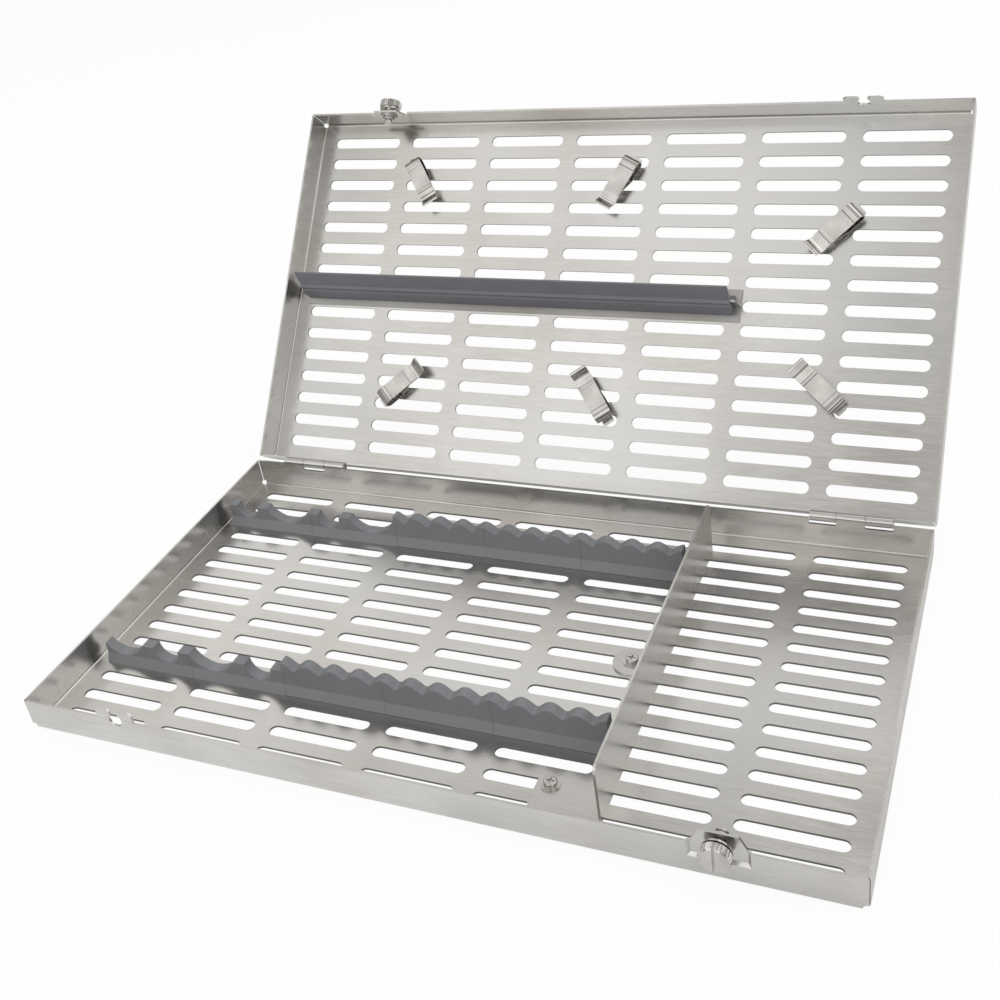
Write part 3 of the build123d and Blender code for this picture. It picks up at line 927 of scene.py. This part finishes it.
# %% The strip from the side
strip_lip = [
    (22.45, 7.35), (21.95, 7.5), (21.4, 7.35), (20.7, 6.8), (19.9, 6.05), (19.1, 5.35),
    (18.4, 4.9), (17.7, 4.66), (16.8, 4.78), (14.0, 5.06), (10.5, 5.31), (3.0, 1.1),
]
strip_jaw = [
    (-3.7, 6.82), (-3.2, 7.05), (-1.7, 6.98), (-1.1, 6.62), (11.6, 5.98), (12.1, 6.3), (13.0, 6.24),
    (13.6, 5.84), (14.6, 5.77), (16.2, 5.66),
]
bend_middle = (-4.3, 4.1)
bend_radius = 3.0
bend_steps = 16
bend = []
for step in range(bend_steps + 1):
    angle = math.pi * step / bend_steps
    back = bend_radius * math.sin(angle)
    rise = bend_radius * math.cos(angle)
    bend.append((bend_middle[0] - back, bend_middle[1] - rise))
strip_line = [Vector(point) * MM for point in strip_lip + bend + strip_jaw]
print("strip of", len(strip_line), "points")

# %% Thicken the line
strip_width = 9.4 * MM
strip_thickness = 0.6 * MM


def thickened(line, thickness):
    """Pairs of points on both sides of a line, with mitred bends."""
    ways = [(b - a).normalized() for a, b in zip(line, line[1:])]
    pairs = []
    for point, before, after in zip(line, ways[:1] + ways, ways + ways[-1:]):
        across = Vector((-before.y - after.y, before.x + after.x)).normalized()
        reach = thickness / 2 / across.dot(Vector((-before.y, before.x)))
        pairs.append((point + across * reach, point - across * reach))
    return pairs


strip_pairs = thickened(strip_line, strip_thickness)
print("strip", strip_thickness / MM, "mm thick")

# %% [markdown]
# The pairs of points are stretched to the width of the clip, with a third row along the middle.
# That row makes room for the rivet's hole: on the flat over the foot plate, each side of the strip
# is two faces that meet at the middle and go round half of the hole.

# %% A face with a hole
rivet_hole = 1.38 * MM
hole_steps = 24
hole_turns = [2 * math.pi * step / hole_steps for step in range(hole_steps)]
foot_flat = 2 * MM


def is_holed(a, b):
    """Whether the rivet goes through the flat between two rows of the strip."""
    return a.x > rivet_hole and b.x < -rivet_hole and b.z < foot_flat


def holed_face(mould, edge_a, edge_b, circle):
    """Two faces around a round hole: edge_a and edge_b are rows of three points."""
    half = len(circle) // 2
    left_arc = circle[half::-1]
    right_arc = circle[half:] + circle[:1]
    for side, arc in ((2, left_arc), (0, right_arc)):
        mould.faces.new([edge_a[1], edge_a[side], edge_b[side], edge_b[1]] + arc)


print("hole of", hole_steps, "sides")


# %% One bent strip
def bent_strip():
    """The strip with its rivet hole at the origin."""
    mould = bmesh.new()
    rows = []
    for pair in strip_pairs:
        rows.append([
            [mould.verts.new((side.x, y, side.y)) for y in (-strip_width / 2, 0, strip_width / 2)]
            for side in pair
        ])
    circles = []
    for a, b in zip(rows, rows[1:]):
        for side in (0, 1):
            if is_holed(a[0][1].co, b[0][1].co):
                z = a[side][1].co.z
                circle = [
                    mould.verts.new((rivet_hole * math.cos(turn), rivet_hole * math.sin(turn), z))
                    for turn in hole_turns
                ]
                holed_face(mould, a[side], b[side], circle)
                circles.append(circle)
            else:
                for left in (0, 1):
                    mould.faces.new((a[side][left], a[side][left + 1], b[side][left + 1], b[side][left]))
        for column in (0, 2):
            mould.faces.new((a[0][column], b[0][column], b[1][column], a[1][column]))
    for end in (rows[0], rows[-1]):
        for left in (0, 1):
            mould.faces.new((end[0][left], end[0][left + 1], end[1][left + 1], end[1][left]))
    first, second = circles
    for step in range(hole_steps):
        following = (step + 1) % hole_steps
        mould.faces.new((first[step], first[following], second[following], second[step]))
    return mould


print("strip bends over", len(strip_pairs), "rows")

# %% Six clips
jaw_directions = (-56.8, -116.8, -134.3, 45.0, 126.3, 139.2)
strip_rounding = 0.08 * MM
for number, direction in enumerate(jaw_directions, 1):
    pivot = to_lid.inverted() @ Vector(joints[f"clip_{number}_swivel"]["pos_m"])
    place = (
        to_lid
        @ Matrix.Translation((pivot.x, pivot.y, 0))
        @ Matrix.Rotation(math.radians(direction), 4, "Z")
    )
    name = f"clip_spring_{number}_bent"
    body = f"clip_{number}"
    spring = mesh_object(name, bent_strip(), spring_steel, body, strip_rounding, place=place)
    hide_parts(f"clip_spring_{number}")
print("six clips bent")
